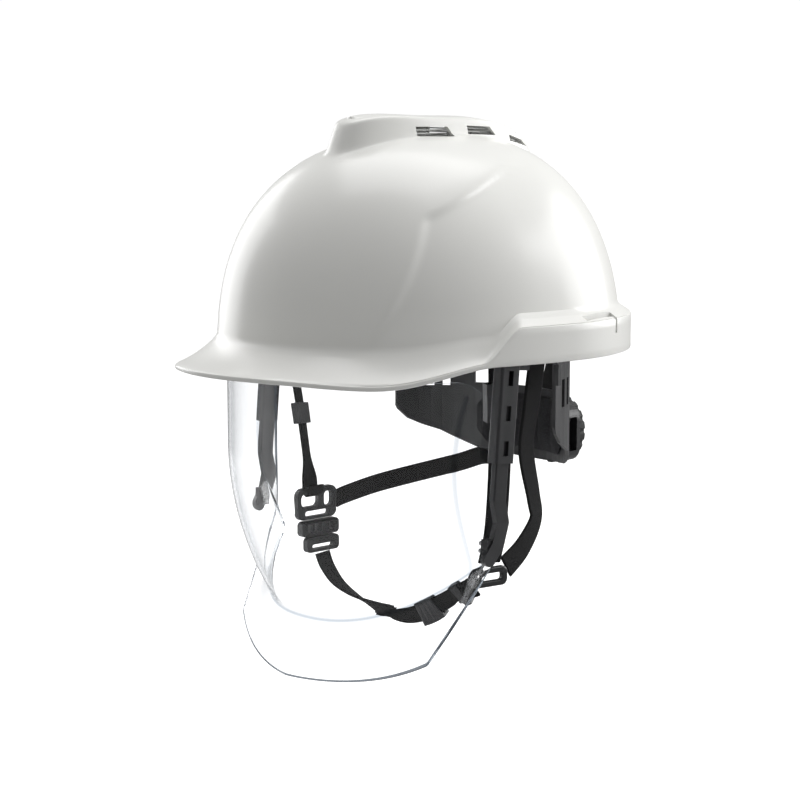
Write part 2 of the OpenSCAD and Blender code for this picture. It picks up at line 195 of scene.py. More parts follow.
def side_panel(p):
    """The sunk panel on each side: a ramp along its slanted top and a soft crease ahead of it."""
    x, y, z = np.abs(p[..., 0]), p[..., 1], p[..., 2]
    ramp_low = np.array([69.0, -61.5, 79.5])
    ramp_high = np.array([70.0, -22.0, 94.5])
    along = ramp_high - ramp_low
    t = (y - ramp_low[1]) / along[1]
    below = ramp_low[2] + t * along[2] - 2.0 * smooth((t - 1.0) / 2.0) - z
    top = smooth((below + 2.0) / 4.0)
    crease_y = -61.0 - (80.0 - z) * 0.55
    ahead = smooth((y - crease_y) / 6.0)
    rear = 1.0 - smooth((y + 4.0) / 60.0)
    foot = 1.0 - smooth((34.0 - z) / 30.0)
    return top * ahead * rear * foot * smooth((x - 30.0) / 20.0)


columns = 360
turn = np.arange(columns) * 2.0 * math.pi / columns


def ridge_plan(grow, d):
    x = (20.0 - grow - d) * bow(np.cos(turn), 2.8)
    y = 16.0 + (82.0 - 2.8 * grow - d) * bow(np.sin(turn), 2.8)
    return x, y


def ridge_ring(k, grow, up, d):
    x, y = ridge_plan(grow, d)
    z = crown_z(plan_share(x, y - centre_y), plan_angle(x, y - centre_y), d)
    return np.stack([k * x, y, z + ridge_rise(y) * up + 1.2 * (1.0 - k * k) * up], -1)


def rim_plan(inset):
    length = np.where(np.sin(turn) < 0, peak_l, gutter_back) - inset
    return (gutter_w - inset) * bow(np.cos(turn), plan_n), centre_y + length * bow(np.sin(turn), plan_n)


rim_y = rim_plan(0.0)[1]


def dome_ring(t, d):
    x, y = ridge_plan(-2.0, d)
    start = plan_angle(x, y - centre_y)
    swing = (turn - start + math.pi) % (2.0 * math.pi) - math.pi
    q0 = plan_share(x, y - centre_y)
    q1 = share_at(join_z(rim_y) + (2.0 if d == 0 else -1.0), turn, d)
    a = start + swing * smooth(t)
    p = dome_point(np.sin(mix(np.arcsin(np.minimum(1.0, q0)), np.arcsin(np.minimum(0.9999, q1)), t)), a, d)
    out = np.stack([p[:, 0] / half_w ** 2, (p[:, 1] - centre_y) / length_of(p[:, 1] - centre_y) ** 2,
                    p[:, 2] / crown ** 2], -1)
    out /= np.linalg.norm(out, axis=1)[:, None]
    return p - out * side_panel(p)[:, None] * 1.8


def brim_ring(s, d, lift):
    q = share_at(join_z(rim_y) - d, turn, d)
    inner = dome_point(q, turn, d)
    x, y = rim_plan(d)
    z = mix(join_z(rim_y), lip_z(rim_y), s) - d + lift
    z = z - 1.6 * np.sin(np.pi * s) * (1.0 - step_at(rim_y))
    return np.stack([mix(inner[:, 0], x, s), mix(inner[:, 1], y, s), z], -1)


def lip_ring(inset, z):
    x, y = rim_plan(inset)
    return np.stack([x, y, z], -1)


low, lip = low_z(rim_y), lip_z(rim_y)
outer = [ridge_ring(k, 5.2, 1.0, 0.0) for k in (0.06, 0.3, 0.55, 0.8, 0.94)]
for grow, up in ((4.3, 1.0), (3.7, 0.992), (3.2, 0.97), (2.8, 0.93), (2.5, 0.86), (2.1, 0.7), (1.7, 0.54),
                 (1.2, 0.34), (0.8, 0.18), (0.4, 0.08), (0.0, 0.035), (-0.6, 0.01), (-1.2, 0.002)):
    outer.append(ridge_ring(1.0, grow, up, 0.0))
outer += [dome_ring(t, 0.0) for t in np.linspace(0.0, 1.0, 110)]
outer += [brim_ring(0.05, 0.0, 0.5)]
outer += [brim_ring(s, 0.0, 0.0) for s in (0.16, 0.3, 0.45, 0.6, 0.75, 0.87, 0.94)]
outer += [lip_ring(0.7, lip - 0.02), lip_ring(0.25, lip - 0.22), lip_ring(0.0, lip - 0.7)]
outer += [lip_ring(0.0, mix(lip - 0.7, low + 0.7, k)) for k in (0.2, 0.5, 0.8, 1.0)]
inner = [lip_ring(0.25, low + 0.22), lip_ring(0.8, low), lip_ring(wall - 0.6, low + 0.05)]
inner += [lip_ring(wall, mix(low + 0.5, np.maximum(low + 0.6, lip - wall - 1.0), k)) for k in (0.0, 0.5, 1.0)]
inner += [brim_ring(s, wall, 0.0) for s in (0.93, 0.75, 0.5, 0.25, 0.08)]
inner += [dome_ring(t, wall) for t in np.linspace(1.0, 0.0, 60)]
for grow, up in ((0.0, 0.1), (1.2, 0.5), (2.6, 0.9), (3.6, 0.98), (5.2, 1.0)):
    inner.append(ridge_ring(1.0, grow, up, wall))
inner += [ridge_ring(k, 5.2, 1.0, wall) for k in (0.8, 0.4, 0.06)]


def mesh_object(name, points, faces, smooth_shade=True):
    mesh = bpy.data.meshes.new(name)
    mesh.from_pydata([tuple(p) for p in np.asarray(points) * MM], [], faces)
    mesh.update()
    if smooth_shade:
        mesh.polygons.foreach_set("use_smooth", [True] * len(mesh.polygons))
    made = bpy.data.objects.new(name, mesh)
    scene.collection.objects.link(made)
    return made


def ring_faces(n, count):
    faces = [(r * n + i, (r + 1) * n + i, (r + 1) * n + (i + 1) % n, r * n + (i + 1) % n)
             for r in range(count - 1) for i in range(n)]
    for base, flip in ((0, False), ((count - 1) * n, True)):
        for k in range(n // 2):
            i = (n * 3 // 4 + k) % n
            j = (i + 1) % n
            across_i, across_j = (n // 2 - i) % n, (n // 2 - j) % n
            quad = [base + v for v in dict.fromkeys((i, j, across_j, across_i))]
            faces.append(tuple(quad[::-1] if flip else quad))
    return faces


shell_rings = outer + inner
shell = mesh_object("shell_skin", np.concatenate(shell_rings), ring_faces(columns, len(shell_rings)))


def cutter(name, points, faces):
    tool = mesh_object(name, points, faces, False)
    tool.hide_render = True
    tool.hide_viewport = True
    return tool


def prism(outline, x0, x1):
    n = len(outline)
    points = [(x, y, z) for x in (x0, x1) for y, z in outline]
    faces = [tuple(range(n))[::-1], tuple(range(n, 2 * n))]
    faces += [(i, (i + 1) % n, n + (i + 1) % n, n + i) for i in range(n)]
    return points, faces


vents = [(-19.0, 8.0, 123.0, 128.4, 0.0), (19.0, 41.0, 124.2, 129.0, 0.6), (53.0, 69.0, 120.4, 124.0, 3.2)]
tool_points, tool_faces = [], []


def add_tool(points, faces):
    base = len(tool_points)
    tool_points.extend(points)
    tool_faces.extend(tuple(base + v for v in f) for f in faces)


for start, end, floor_z, top_z, fall in vents:
    add_tool(*prism([(start, floor_z), (end, floor_z - fall), (end - 4.0, top_z - fall), (start, top_z)],
                    -30, 30))
for hand in (-1, 1):
    slot_turn = math.radians(13.0)
    corners = []
    for z in (16.0, 34.0):
        for u, v in ((-1.8, -15.0), (1.8, -15.0), (1.8, 12.0), (3.4, 12.0), (3.4, 15.0), (-1.8, 15.0)):
            x = 106.2 + u * math.cos(slot_turn) - v * math.sin(slot_turn)
            y = 36.0 + u * math.sin(slot_turn) + v * math.cos(slot_turn)
            corners.append((hand * x, y, z))
    faces = [tuple(range(6))[::-1], tuple(range(6, 12))] + [(i, (i + 1) % 6, 6 + (i + 1) % 6, 6 + i)
                                                           for i in range(6)]
    add_tool(corners, [f[::-1] for f in faces] if hand < 0 else faces)
tool = cutter("window_tool", tool_points, tool_faces)
carve = shell.modifiers.new("windows", "BOOLEAN")
carve.operation = "DIFFERENCE"
carve.solver = "EXACT"
carve.object = tool
bpy.context.view_layer.objects.active = shell
shell.select_set(True)
bpy.ops.object.modifier_apply(modifier="windows")
bpy.data.objects.remove(tool)
shell.data.set_sharp_from_angle(angle=math.radians(38.0))


def new_group(name, inputs, outputs):
    group = bpy.data.node_groups.new(name, "ShaderNodeTree")
    for label, kind, value in inputs:
        socket = group.interface.new_socket(label, in_out="INPUT", socket_type=kind)
        socket.default_value = value
    for label, kind in outputs:
        group.interface.new_socket(label, in_out="OUTPUT", socket_type=kind)
    return group, group.nodes.new("NodeGroupInput"), group.nodes.new("NodeGroupOutput")


def wire(tree, *pairs):
    for a, b in pairs:
        tree.links.new(a, b)


# Moulded grain: fine noise for bump, broad noise for tone, and a mask of rubbed edges
grain, g_in, g_out = new_group(
    "moulded_grain",
    [("Fine scale", "NodeSocketFloat", 900.0), ("Broad scale", "NodeSocketFloat", 22.0),
     ("Dark", "NodeSocketColor", (0.8, 0.8, 0.8, 1.0)), ("Light", "NodeSocketColor", (0.9, 0.9, 0.9, 1.0)),
     ("Worn", "NodeSocketColor", (0.95, 0.95, 0.95, 1.0)), ("Wear", "NodeSocketFloat", 0.2),
     ("Rough low", "NodeSocketFloat", 0.2), ("Rough high", "NodeSocketFloat", 0.3)],
    [("Color", "NodeSocketColor"), ("Roughness", "NodeSocketFloat"), ("Height", "NodeSocketFloat")])
place = grain.nodes.new("ShaderNodeTexCoord")
fine = grain.nodes.new("ShaderNodeTexNoise")
fine.inputs["Detail"].default_value = 3.0
broad = grain.nodes.new("ShaderNodeTexNoise")
broad.inputs["Detail"].default_value = 5.0
shade = grain.nodes.new("ShaderNodeMix")
shade.data_type = "RGBA"
edge = grain.nodes.new("ShaderNodeNewGeometry")
edge_ramp = grain.nodes.new("ShaderNodeMapRange")
edge_ramp.inputs["From Min"].default_value = 0.52
edge_ramp.inputs["From Max"].default_value = 0.62
edge_amount = grain.nodes.new("ShaderNodeMath")
edge_amount.operation = "MULTIPLY"
worn = grain.nodes.new("ShaderNodeMix")
worn.data_type = "RGBA"
rough = grain.nodes.new("ShaderNodeMapRange")
wire(grain, (place.outputs["Object"], fine.inputs["Vector"]),
     (place.outputs["Object"], broad.inputs["Vector"]),
     (g_in.outputs["Fine scale"], fine.inputs["Scale"]), (g_in.outputs["Broad scale"], broad.inputs["Scale"]),
     (broad.outputs["Fac"], shade.inputs[0]), (g_in.outputs["Dark"], shade.inputs[6]),
     (g_in.outputs["Light"], shade.inputs[7]), (edge.outputs["Pointiness"], edge_ramp.inputs["Value"]),
     (edge_ramp.outputs["Result"], edge_amount.inputs[0]), (g_in.outputs["Wear"], edge_amount.inputs[1]),
     (edge_amount.outputs[0], worn.inputs[0]), (shade.outputs[2], worn.inputs[6]),
     (g_in.outputs["Worn"], worn.inputs[7]), (broad.outputs["Fac"], rough.inputs["Value"]),
     (g_in.outputs["Rough low"], rough.inputs["To Min"]),
     (g_in.outputs["Rough high"], rough.inputs["To Max"]),
     (worn.outputs[2], g_out.inputs["Color"]), (rough.outputs["Result"], g_out.inputs["Roughness"]),
     (fine.outputs["Fac"], g_out.inputs["Height"]))


def moulded(name, dark, light, worn_tone, fine_scale, broad_scale, wear, rough_range, bump, coat=0.0):
    finish = bpy.data.materials.new(name)
    finish.use_nodes = True
    tree = finish.node_tree
    shader = tree.nodes["Principled BSDF"]
    skin = tree.nodes.new("ShaderNodeGroup")
    skin.node_tree = grain
    for label, value in (("Fine scale", fine_scale), ("Broad scale", broad_scale), ("Wear", wear),
                         ("Rough low", rough_range[0]), ("Rough high", rough_range[1]),
                         ("Dark", (*dark, 1.0)), ("Light", (*light, 1.0)), ("Worn", (*worn_tone, 1.0))):
        skin.inputs[label].default_value = value
    relief = tree.nodes.new("ShaderNodeBump")
    relief.inputs["Strength"].default_value = bump
    relief.inputs["Distance"].default_value = 0.0002
    shader.inputs["Coat Weight"].default_value = coat
    shader.inputs["Coat Roughness"].default_value = 0.14
    wire(tree, (skin.outputs["Color"], shader.inputs["Base Color"]),
         (skin.outputs["Roughness"], shader.inputs["Roughness"]),
         (skin.outputs["Height"], relief.inputs["Height"]),
         (relief.outputs["Normal"], shader.inputs["Normal"]))
    return finish


shell_white = moulded("gloss_white_abs", (0.83, 0.83, 0.80), (0.87, 0.87, 0.84), (0.90, 0.90, 0.88),
                      1400.0, 14.0, 0.3, (0.27, 0.33), 0.05, 0.12)
shell.data.materials.append(shell_white)
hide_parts("shell")
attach(shell, "helmet")


# ---- Windows' grilles, rails, arms, pins, rivets and hooks --------------------------------
# Injection-moulded nylon and ABS pieces from the frame, with their sharp corners rounded.
# The rails are riveted to the shell, the arms run in them, and the grilles snap in behind.
def finish_node(name, material, bevel=0.35, segments=2):
    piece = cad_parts[name]
    for slot_now in piece.material_slots:
        slot_now.link = "OBJECT"
        slot_now.material = material
    if bevel:
        soften = piece.modifiers.new("soft_edges", "BEVEL")
        soften.width = bevel * MM
        soften.segments = segments
        soften.limit_method = "ANGLE"
        soften.angle_limit = math.radians(35.0)
        soften.use_clamp_overlap = True
    return piece


grille_grey = moulded("grey_grille_abs", (0.62, 0.63, 0.62), (0.70, 0.71, 0.70), (0.75, 0.75, 0.74),
                      1800.0, 40.0, 0.3, (0.38, 0.5), 0.15)
nylon_black = moulded("black_glass_nylon", (0.006, 0.0065, 0.0075), (0.012, 0.0125, 0.014),
                      (0.04, 0.04, 0.044),
                      2600.0, 60.0, 0.5, (0.34, 0.5), 0.3)
rubbed_black = moulded("satin_black_nylon", (0.007, 0.0075, 0.009), (0.014, 0.015, 0.017),
                       (0.05, 0.05, 0.054),
                       2200.0, 45.0, 0.5, (0.26, 0.4), 0.22)
clip_grey = moulded("pale_grey_clip", (0.50, 0.50, 0.49), (0.58, 0.58, 0.56), (0.65, 0.65, 0.64),
                    1800.0, 40.0, 0.3, (0.35, 0.46), 0.15)
steel_dark = moulded("dark_plated_steel", (0.12, 0.12, 0.125), (0.2, 0.2, 0.205), (0.4, 0.4, 0.41),
                     3000.0, 120.0, 0.6, (0.25, 0.4), 0.1)
steel_dark.node_tree.nodes["Principled BSDF"].inputs["Metallic"].default_value = 1.0
for name in ("left_vent_grille", "right_vent_grille"):
    finish_node(name, grille_grey, 0.15)
for name in ("left_visor_rail", "right_visor_rail", "left_visor_arm", "right_visor_arm", "strap_hooks"):
    finish_node(name, rubbed_black, 0.45)
for name in ("arm_pins", "rail_rivets"):
    finish_node(name, steel_dark, 0.25)


# ---- Clear visor sheet --------------------------------------------------------------------
# One 1.8 mm clear polycarbonate sheet, pressed to a deep bulge with a flared chin skirt below
# a U-shaped crease. Its two upper side wings are pinned to the arms.
def sheet_pull(z):
    return 1.0 - 0.205 * (np.maximum(0.0, -z - 48.0) / 90.0) ** 2


def sheet_row(u, z, d):
    s = np.abs(u)
    half_angle = 66.5 - 5.6 * np.sin(np.pi * np.minimum(1.0, np.maximum(0.0, -z / 105.0)))
    a = np.radians(half_angle) * np.minimum(1.0, s / 0.86)
    f = sheet_pull(z)
    x = f * (99.5 - d) * np.sin(a) ** 0.952
    y = centre_y - f * (125.5 - d) * np.cos(a) ** 0.952
    k = np.maximum(0.0, (s - 0.86) / 0.14)
    x, y = mix(x, 98.3 - d, k), mix(y, -31.0, k)
    return np.stack([np.sign(u) * x, y, z], -1)


def top_edge(u):
    return -5.0 - 9.0 * smooth((np.abs(u) - 0.8) / 0.2)


def crease_line(u):
    return -141.0 + 45.0 * np.abs(u) ** 2.6


def skirt_row(u, d):
    s = np.abs(u)
    k = np.minimum(1.0, s / 0.8)
    b = np.stack([81.7 * mix(k, np.sin(k * np.pi / 2), 0.2), mix(-99.0, -68.0, k ** 1.3),
                  mix(-173.0, -156.0, k ** 2.4)], -1)
    e = np.maximum(0.0, (s - 0.8) / 0.2)[:, None]
    p = mix(b, np.array([98.3, -31.0, -99.0]), e)
    return np.stack([np.sign(u) * (p[:, 0] - d * 0.8), p[:, 1] + d * 0.6, p[:, 2]], -1)


across_n, upper_n, skirt_n = 192, 84, 30
across_u = np.linspace(-1.0, 1.0, across_n + 1)


def visor_face(d):
    rows = [sheet_row(across_u, mix(top_edge(across_u), crease_line(across_u), r / upper_n), d)
            for r in range(upper_n + 1)]
    hem, low_hem = sheet_row(across_u, crease_line(across_u), d), skirt_row(across_u, d)
    rows += [mix(hem, low_hem, r / skirt_n) for r in range(1, skirt_n + 1)]
    grid = np.array(rows)
    for _ in range(2):
        soft = grid.copy()
        soft[1:-1] = (grid[:-2] + 2.0 * grid[1:-1] + grid[2:]) / 4.0
        near = np.abs(np.arange(len(rows)) - upper_n)[:, None, None] < 5
        grid = np.where(near, soft, grid)
    return grid


sheet_out = visor_face(0.0)
step_u, step_v = np.gradient(sheet_out, axis=1), np.gradient(sheet_out, axis=0)
face_normal = np.cross(step_u, step_v)
face_normal /= np.linalg.norm(face_normal, axis=2)[:, :, None]
if face_normal[20, across_n // 2, 1] > 0:
    face_normal = -face_normal
sheet_in = sheet_out - face_normal * 1.8
rows_n, cols_n = sheet_out.shape[0], sheet_out.shape[1]
edge_round = 0.7
points = np.concatenate([sheet_out.reshape(-1, 3), sheet_in.reshape(-1, 3)])
count = rows_n * cols_n
faces = []
for r in range(rows_n - 1):
    for i in range(cols_n - 1):
        a = r * cols_n + i
        faces.append((a, a + cols_n, a + cols_n + 1, a + 1))
        faces.append((count + a, count + a + 1, count + a + cols_n + 1, count + a + cols_n))
border = ([i for i in range(cols_n)] + [r * cols_n + cols_n - 1 for r in range(1, rows_n)]
          + [(rows_n - 1) * cols_n + i for i in range(cols_n - 2, -1, -1)]
          + [r * cols_n for r in range(rows_n - 2, 0, -1)])
for a, b in zip(border, border[1:] + border[:1]):
    faces.append((a, b, count + b, count + a))
visor = mesh_object("visor_clear", points, faces)
# Painted shade along the U crease and the upper wing folds: a mask that darkens the sheet to blue-grey on the
# bends.
crease_shade_mark = visor.data.attributes.new("crease_shade_line", "FLOAT", "POINT")
row_of = np.tile(np.repeat(np.arange(rows_n), cols_n), 2)
side_of = np.tile(np.abs(np.tile(across_u, rows_n)), 2)
seam = np.clip(1.2 - np.abs(row_of - upper_n) / 1.2, 0.0, 1.0)
wing_fold = np.clip(1.0 - np.abs(side_of - 0.86) / 0.016, 0.0, 1.0) * (row_of < upper_n) * (row_of > 4) * 0.9
crease_shade_mark.data.foreach_set("value", np.maximum(seam, wing_fold).astype(float))
shape = bmesh.new()
shape.from_mesh(visor.data)
bmesh.ops.recalc_face_normals(shape, faces=shape.faces)
shape.to_mesh(visor.data)
shape.free()
visor.data.set_sharp_from_angle(angle=math.radians(40.0))
edges = visor.modifiers.new("edge", "BEVEL")
edges.width = edge_round * MM
edges.segments = 2
edges.limit_method = "ANGLE"
edges.angle_limit = math.radians(50.0)
edges.material = 1

clear_sheet = bpy.data.materials.new("clear_polycarbonate")
clear_sheet.use_nodes = True
tree = clear_sheet.node_tree
shader = tree.nodes["Principled BSDF"]
shader.inputs["Transmission Weight"].default_value = 1.0
shader.inputs["IOR"].default_value = 1.22
# Painted shade: the sheet's base colour darkens to blue-grey where it turns edge-on to the view, strongest at
# its silhouettes.
grazing = tree.nodes.new("ShaderNodeLayerWeight")
grazing.inputs["Blend"].default_value = 0.5
grazing_power = tree.nodes.new("ShaderNodeMath")
grazing_power.operation = "POWER"
grazing_power.inputs[1].default_value = 4.0
grazing_shade = tree.nodes.new("ShaderNodeMix")
grazing_shade.data_type = "RGBA"
grazing_shade.inputs[6].default_value = (0.985, 0.99, 0.995, 1.0)
grazing_shade.inputs[7].default_value = (0.10, 0.13, 0.17, 1.0)
# The crease mask mixes the sheet colour towards darker blue-grey: painted shade on the bends.
crease_shade_attr = tree.nodes.new("ShaderNodeAttribute")
crease_shade_attr.attribute_name = "crease_shade_line"
crease_shade_tint = tree.nodes.new("ShaderNodeMix")
crease_shade_tint.data_type = "RGBA"
crease_shade_tint.inputs[7].default_value = (0.40, 0.44, 0.49, 1.0)
where = tree.nodes.new("ShaderNodeTexCoord")
haze = tree.nodes.new("ShaderNodeTexNoise")
haze.inputs["Scale"].default_value = 30.0
haze.inputs["Detail"].default_value = 4.0
haze_range = tree.nodes.new("ShaderNodeMapRange")
haze_range.inputs["From Min"].default_value = 0.35
haze_range.inputs["From Max"].default_value = 0.8
haze_range.inputs["To Min"].default_value = 0.0
haze_range.inputs["To Max"].default_value = 0.012
wire(tree, (where.outputs["Object"], haze.inputs["Vector"]),
     (haze.outputs["Fac"], haze_range.inputs["Value"]),
     (haze_range.outputs["Result"], shader.inputs["Roughness"]),
     (grazing.outputs["Facing"], grazing_power.inputs[0]), (grazing_power.outputs[0], grazing_shade.inputs[0]),
     (crease_shade_attr.outputs["Fac"], crease_shade_tint.inputs[0]), (grazing_shade.outputs[2], crease_shade_tint.inputs[6]),
     (crease_shade_tint.outputs[2], shader.inputs["Base Color"]))
cut_edge = bpy.data.materials.new("cut_sheet_edge")
cut_edge.use_nodes = True
edge_tree = cut_edge.node_tree
edge_shader = edge_tree.nodes["Principled BSDF"]
edge_shader.inputs["Transmission Weight"].default_value = 0.3
edge_shader.inputs["IOR"].default_value = 1.3
edge_where = edge_tree.nodes.new("ShaderNodeTexCoord")
edge_noise = edge_tree.nodes.new("ShaderNodeTexNoise")
edge_noise.inputs["Scale"].default_value = 220.0
edge_tone = edge_tree.nodes.new("ShaderNodeMix")
edge_tone.data_type = "RGBA"
edge_tone.inputs[6].default_value = (0.13, 0.15, 0.18, 1.0)
edge_tone.inputs[7].default_value = (0.22, 0.26, 0.31, 1.0)
edge_rough = edge_tree.nodes.new("ShaderNodeMapRange")
edge_rough.inputs["To Min"].default_value = 0.1
edge_rough.inputs["To Max"].default_value = 0.3
wire(edge_tree, (edge_where.outputs["Object"], edge_noise.inputs["Vector"]),
     (edge_noise.outputs["Fac"], edge_tone.inputs[0]),
     (edge_tone.outputs[2], edge_shader.inputs["Base Color"]),
     (edge_noise.outputs["Fac"], edge_rough.inputs["Value"]),
     (edge_rough.outputs["Result"], edge_shader.inputs["Roughness"]))
visor.data.materials.append(clear_sheet)
visor.data.materials.append(cut_edge)
rim_start = 2 * (rows_n - 1) * (cols_n - 1)
for face in visor.data.polygons:
    r, i = divmod(face.index // 2, cols_n - 1)
    if face.index >= rim_start or (face.index % 2 == 0 and (r == rows_n - 2 or i in (0, cols_n - 2))):
        face.material_index = 1
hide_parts("visor_sheet")
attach(visor, "visor")


# ---- Head ring, nape cradle, ratchet and clips --------------------------------------------
# Moulded black parts of the fit system, from the frame. The ring hangs in pale hooked clips;
# the cradle carries the ratchet box, whose pinion draws two toothed racks together.
for name in ("headband", "nape_cradle"):
    finish_node(name, nylon_black, 0.4)
for name in ("ratchet_housing", "left_rack", "right_rack"):
    finish_node(name, rubbed_black, 0.3)
finish_node("ratchet_pinion", steel_dark, 0.15)
finish_node("suspension_clips", clip_grey, 0.3)
knob_rubber = moulded("soft_knob_rubber", (0.010, 0.010, 0.011), (0.018, 0.018, 0.019), (0.05, 0.05, 0.05),
                      1500.0, 80.0, 0.4, (0.6, 0.75), 0.5)
finish_node("ratchet_knob", knob_rubber, 0.8, 3)


# ---- Webbing ------------------------------------------------------------------------------
# Flat woven polyester webbing, 1.6 mm thick, with a ribbed weave and thicker selvedges. Each
# strap is one band swept along its own route, and its ends are cut square.
def through(points, steps=14):
    out = []
    for i in range(len(points) - 1):
        a, b, c, d = (np.array(points[max(0, min(len(points) - 1, i + k))], float) for k in (-1, 0, 1, 2))
        for k in range(steps):
            t = k / steps
            out.append(0.5 * (2 * b + (c - a) * t + (2 * a - 5 * b + 4 * c - d) * t * t
                              + (3 * b - a - 3 * c + d) * t ** 3))
    out.append(np.array(points[-1], float))
    return np.array(out)


def strap(name, route, width, thick=1.6, body="helmet", node=None, steps=14, lean=0.0):
    path = through(route, steps)
    n = len(path)
    tangent = np.gradient(path, axis=0)
    tangent /= np.linalg.norm(tangent, axis=1)[:, None]
    radial = np.stack([path[:, 0], path[:, 1] - centre_y, np.full(n, 0.01)], -1)
    radial /= np.linalg.norm(radial, axis=1)[:, None]
    wide = np.cross(tangent, radial)
    wide /= np.linalg.norm(wide, axis=1)[:, None]
    if lean:
        along = np.linspace(0.0, 1.0, n)
        keep = (1.0 - smooth(along / lean) if lean > 0 else smooth((along + lean) / 0.12))[:, None]
        level = np.array([0.0, 1.0, 0.0]) * np.sign(wide[0, 1])
        wide = mix(wide, level, keep)
        wide -= tangent * np.sum(wide * tangent, axis=1)[:, None]
        wide /= np.linalg.norm(wide, axis=1)[:, None]
    face = np.cross(wide, tangent)
    half, flat = width / 2.0, thick / 2.0
    across_count = 14
    edge_round = 0.7
    selvedge_from = 0.72
    selvedge_swell = 0.10
    ring_uv = []
    for k in range(across_count + 1):
        u = -1.0 + 2.0 * k / across_count
        ring_uv.append((u, 1.0))
    ring_uv = ring_uv + [(u, -1.0) for u, _ in ring_uv[::-1]]
    m = len(ring_uv)
    length = np.concatenate([[0.0], np.cumsum(np.linalg.norm(np.diff(path, axis=0), axis=1))])
    points, strand = [], []
    for i in range(n):
        for u, v in ring_uv:
            edge = min(1.0, (1.0 - abs(u)) * half / edge_round)
            thin = flat * (0.30 + 0.70 * math.sqrt(max(0.0, 1.0 - (1.0 - edge) ** 2)))
            selvedge = 1.0 + selvedge_swell * (abs(u) > selvedge_from)
            points.append(path[i] + wide[i] * u * half + face[i] * v * thin * selvedge)
            strand.append((u * half * MM, length[i] * MM, v * MM))
    faces = [(r * m + i, (r + 1) * m + i, (r + 1) * m + (i + 1) % m, r * m + (i + 1) % m)
             for r in range(n - 1) for i in range(m)]
    half_m = m // 2
    for base, flip in ((0, False), ((n - 1) * m, True)):
        for k in range(half_m - 1):
            quad = [base + k, base + k + 1, base + m - 2 - k, base + m - 1 - k]
            faces.append(tuple(quad[::-1] if flip else quad))
    made = mesh_object(name, points, faces)
    mark = made.data.attributes.new("strand", "FLOAT_VECTOR", "POINT")
    mark.data.foreach_set("vector", np.array(strand, float).ravel())
    shape = bmesh.new()
    shape.from_mesh(made.data)
    bmesh.ops.recalc_face_normals(shape, faces=shape.faces)
    shape.to_mesh(made.data)
    shape.free()
    made.data.materials.append(webbing_black)
    if node:
        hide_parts(node)
    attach(made, body)
    return made


weave, w_in, w_out = new_group(
    "ribbed_weave",
    [("Rib pitch", "NodeSocketFloat", 0.0011), ("Dark", "NodeSocketColor", (0.01, 0.01, 0.01, 1.0)),
     ("Light", "NodeSocketColor", (0.03, 0.03, 0.03, 1.0))],
    [("Color", "NodeSocketColor"), ("Roughness", "NodeSocketFloat"), ("Height", "NodeSocketFloat")])
strand_at = weave.nodes.new("ShaderNodeAttribute")
strand_at.attribute_name = "strand"
apart = weave.nodes.new("ShaderNodeSeparateXYZ")
warp = weave.nodes.new("ShaderNodeMath")
warp.operation = "DIVIDE"
warp_wave = weave.nodes.new("ShaderNodeMath")
warp_wave.operation = "SINE"
weft = weave.nodes.new("ShaderNodeMath")
weft.operation = "MULTIPLY"
weft.inputs[1].default_value = 5200.0
weft_wave = weave.nodes.new("ShaderNodeMath")
weft_wave.operation = "SINE"
turns = weave.nodes.new("ShaderNodeMath")
turns.operation = "MULTIPLY"
turns.inputs[1].default_value = 6.2832
cross = weave.nodes.new("ShaderNodeMath")
cross.operation = "MULTIPLY"
fuzz = weave.nodes.new("ShaderNodeTexNoise")
fuzz.inputs["Scale"].default_value = 2500.0
fade = weave.nodes.new("ShaderNodeTexNoise")
fade.inputs["Scale"].default_value = 45.0
total = weave.nodes.new("ShaderNodeMath")
total.operation = "MULTIPLY_ADD"
total.inputs[1].default_value = 0.5
tone = weave.nodes.new("ShaderNodeMix")
tone.data_type = "RGBA"
dry = weave.nodes.new("ShaderNodeMapRange")
dry.inputs["To Min"].default_value = 0.7
dry.inputs["To Max"].default_value = 0.9
wire(weave, (strand_at.outputs["Vector"], apart.inputs[0]), (apart.outputs["X"], warp.inputs[0]),
     (w_in.outputs["Rib pitch"], warp.inputs[1]), (warp.outputs[0], turns.inputs[0]),
     (turns.outputs[0], warp_wave.inputs[0]), (apart.outputs["Y"], weft.inputs[0]),
     (weft.outputs[0], weft_wave.inputs[0]), (warp_wave.outputs[0], cross.inputs[0]),
     (weft_wave.outputs[0], cross.inputs[1]), (cross.outputs[0], total.inputs[0]),
     (fuzz.outputs["Fac"], total.inputs[2]), (fade.outputs["Fac"], tone.inputs[0]),
     (w_in.outputs["Dark"], tone.inputs[6]), (w_in.outputs["Light"], tone.inputs[7]),
     (fade.outputs["Fac"], dry.inputs["Value"]), (tone.outputs[2], w_out.inputs["Color"]),
     (dry.outputs["Result"], w_out.inputs["Roughness"]), (total.outputs[0], w_out.inputs["Height"]))


def woven(name, dark, light, pitch, bump):
    finish = bpy.data.materials.new(name)
    finish.use_nodes = True
    tree = finish.node_tree
    shader = tree.nodes["Principled BSDF"]
    cloth = tree.nodes.new("ShaderNodeGroup")
    cloth.node_tree = weave
    cloth.inputs["Rib pitch"].default_value = pitch
    cloth.inputs["Dark"].default_value = (*dark, 1.0)
    cloth.inputs["Light"].default_value = (*light, 1.0)
    relief = tree.nodes.new("ShaderNodeBump")
    relief.inputs["Strength"].default_value = bump
    relief.inputs["Distance"].default_value = 0.0003
    shader.inputs["Specular IOR Level"].default_value = 0.25
    wire(tree, (cloth.outputs["Color"], shader.inputs["Base Color"]),
         (cloth.outputs["Roughness"], shader.inputs["Roughness"]),
         (cloth.outputs["Height"], relief.inputs["Height"]),
         (relief.outputs["Normal"], shader.inputs["Normal"]))
    return finish


